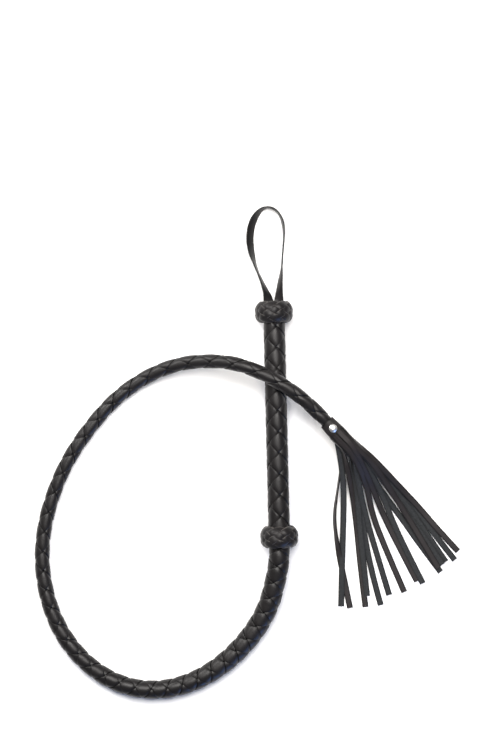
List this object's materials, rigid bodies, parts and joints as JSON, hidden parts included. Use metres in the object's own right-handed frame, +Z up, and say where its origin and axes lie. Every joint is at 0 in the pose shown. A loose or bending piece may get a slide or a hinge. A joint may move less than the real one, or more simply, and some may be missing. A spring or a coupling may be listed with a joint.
{
  "type": "plaited leather whip",
  "caption": "Plaited leather whip laid in a loop: braided grip between two woven knots, wrist strap, long tapering thong, and a riveted fringe of flat strips at its tip.",
  "frame": {"origin": "on the surface that the whip lies on, under the middle of the grip", "axes": "+Y along the grip towards the wrist strap, +Z up from the surface, +X to the side that the fringe lies on"},
  "size_m": [0.4278, 0.4903, 0.0475],
  "materials": {
    "plait_leather": "smooth black lace, soft sheen",
    "knot_leather": "smooth black lace with rubbed edges",
    "strap_leather": "smooth black strap",
    "fringe_leather": "black leather, smooth one side and suede the other",
    "lining_leather": "rough black filler leather",
    "waxed_thread": "waxed black thread",
    "hardwood": "plain hardwood dowel",
    "nickel": "nickel-plated rivet",
    "tack_steel": "blued steel"
  },
  "bodies": {
    "handle": {"handle_core": "hardwood", "handle_lace_1": "plait_leather", "handle_lace_2": "plait_leather", "handle_lace_3": "plait_leather", "handle_lace_4": "plait_leather", "handle_lace_5": "plait_leather", "handle_lace_6": "plait_leather", "pommel_binding": "waxed_thread", "collar_binding": "waxed_thread", "pommel_knot": "knot_leather", "collar_knot": "knot_leather", "pommel_knot_base": "lining_leather", "collar_knot_base": "lining_leather", "strap_root": "strap_leather", "strap_tacks": "tack_steel", "thong_root": "plait_leather"},
    "wrist_loop": {"wrist_loop": "strap_leather"},
    "thong": {"thong_core": "lining_leather", "thong_plait": "plait_leather", "fringe_band": "fringe_leather", "rivet_cap": "nickel", "rivet_back": "nickel", "rivet_post": "nickel"},
    "tassel": {"fringe_strip_01": "fringe_leather", "fringe_strip_02": "fringe_leather", "fringe_strip_03": "fringe_leather", "fringe_strip_04": "fringe_leather", "fringe_strip_05": "fringe_leather", "fringe_strip_06": "fringe_leather", "fringe_strip_07": "fringe_leather", "fringe_strip_08": "fringe_leather", "fringe_strip_09": "fringe_leather", "fringe_strip_10": "fringe_leather", "fringe_strip_11": "fringe_leather", "fringe_strip_12": "fringe_leather", "fringe_strip_13": "fringe_leather", "fringe_strip_14": "fringe_leather", "fringe_strip_15": "fringe_leather"}
  },
  "joints": [
    {"name": "wrist_loop_swing", "type": "hinge", "parent": "handle", "child": "wrist_loop", "pos_m": [0, 0.1273, 0.019], "axis": [1, 0, 0], "range_deg": [0, 90]},
    {"name": "thong_swing", "type": "hinge", "parent": "handle", "child": "thong", "pos_m": [0, -0.134, 0.019], "axis": [0, 0, 1], "range_deg": [-5, 5]},
    {"name": "tassel_swing", "type": "hinge", "parent": "thong", "child": "tassel", "pos_m": [0.0597, -0.0095, 0.031], "axis": [0, 0, 1], "range_deg": [-8, 18]}
  ]
}
